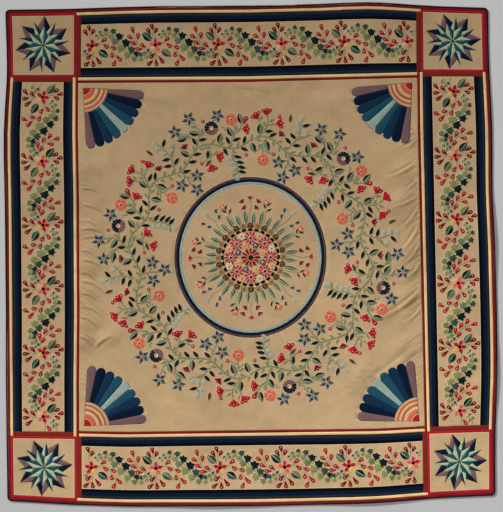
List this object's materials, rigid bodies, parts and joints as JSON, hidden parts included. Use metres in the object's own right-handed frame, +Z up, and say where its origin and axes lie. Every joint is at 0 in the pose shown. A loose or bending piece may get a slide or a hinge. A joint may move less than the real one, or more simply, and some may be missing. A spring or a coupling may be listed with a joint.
{
  "type": "pieced wool tablecloth",
  "caption": "Square tablecloth of inlaid wool broadcloth with corner stars, striped and flowered borders, corner patches and a ringed middle, lying flat.",
  "frame": {"origin": "middle of the cloth's box, on the surface that the cloth lies on", "axes": "+Z up, out of the patterned face; +Y along the cloth towards the edge at the top of the picture; +X across, to the right in the picture"},
  "size_m": [1.7271, 1.7639, 0.0073],
  "materials": {
    "beige_wool": "matte felted wool",
    "cream_wool": "matte felted wool",
    "madder_wool": "matte felted wool",
    "scarlet_wool": "matte felted wool",
    "russet_wool": "matte felted wool",
    "navy_wool": "matte felted wool",
    "mauve_wool": "matte felted wool",
    "sky_wool": "matte felted wool",
    "indigo_wool": "matte felted wool",
    "black_binding": "matte wool braid"
  },
  "bodies": {
    "root": {"centre_panel": "beige_wool", "medallion_disc": "beige_wool", "ring_mauve": "mauve_wool", "ring_navy": "navy_wool", "ring_sky": "sky_wool", "patch_top_left": "indigo_wool", "patch_top_right": "indigo_wool", "patch_bottom_left": "indigo_wool", "patch_bottom_right": "indigo_wool", "frame_top_left": "scarlet_wool", "frame_top_right": "scarlet_wool", "frame_bottom_left": "scarlet_wool", "frame_bottom_right": "scarlet_wool", "square_top_left": "beige_wool", "square_top_right": "beige_wool", "square_bottom_left": "beige_wool", "square_bottom_right": "beige_wool", "star_top_left": "navy_wool", "star_top_right": "navy_wool", "star_bottom_left": "navy_wool", "star_bottom_right": "navy_wool", "outer_cream_top": "cream_wool", "outer_band_top": "navy_wool", "flower_strip_top": "beige_wool", "inner_band_top": "navy_wool", "inner_cream_top": "cream_wool", "inner_red_top": "madder_wool", "end_bar_top_left": "russet_wool", "end_bar_top_right": "russet_wool", "outer_cream_bottom": "cream_wool", "outer_band_bottom": "navy_wool", "flower_strip_bottom": "beige_wool", "inner_band_bottom": "navy_wool", "inner_cream_bottom": "cream_wool", "inner_red_bottom": "madder_wool", "end_bar_bottom_left": "russet_wool", "end_bar_bottom_right": "russet_wool", "outer_cream_left": "cream_wool", "outer_band_left": "navy_wool", "flower_strip_left": "beige_wool", "inner_band_left": "navy_wool", "inner_cream_left": "cream_wool", "inner_red_left": "madder_wool", "end_bar_left_bottom": "russet_wool", "end_bar_left_top": "russet_wool", "outer_cream_right": "cream_wool", "outer_band_right": "navy_wool", "flower_strip_right": "beige_wool", "inner_band_right": "navy_wool", "inner_cream_right": "cream_wool", "inner_red_right": "madder_wool", "end_bar_right_bottom": "russet_wool", "end_bar_right_top": "russet_wool", "outer_red_top": "madder_wool", "outer_red_bottom": "madder_wool", "outer_red_left": "madder_wool", "outer_red_right": "madder_wool", "edge_binding": "black_binding"}
  },
  "joints": []
}
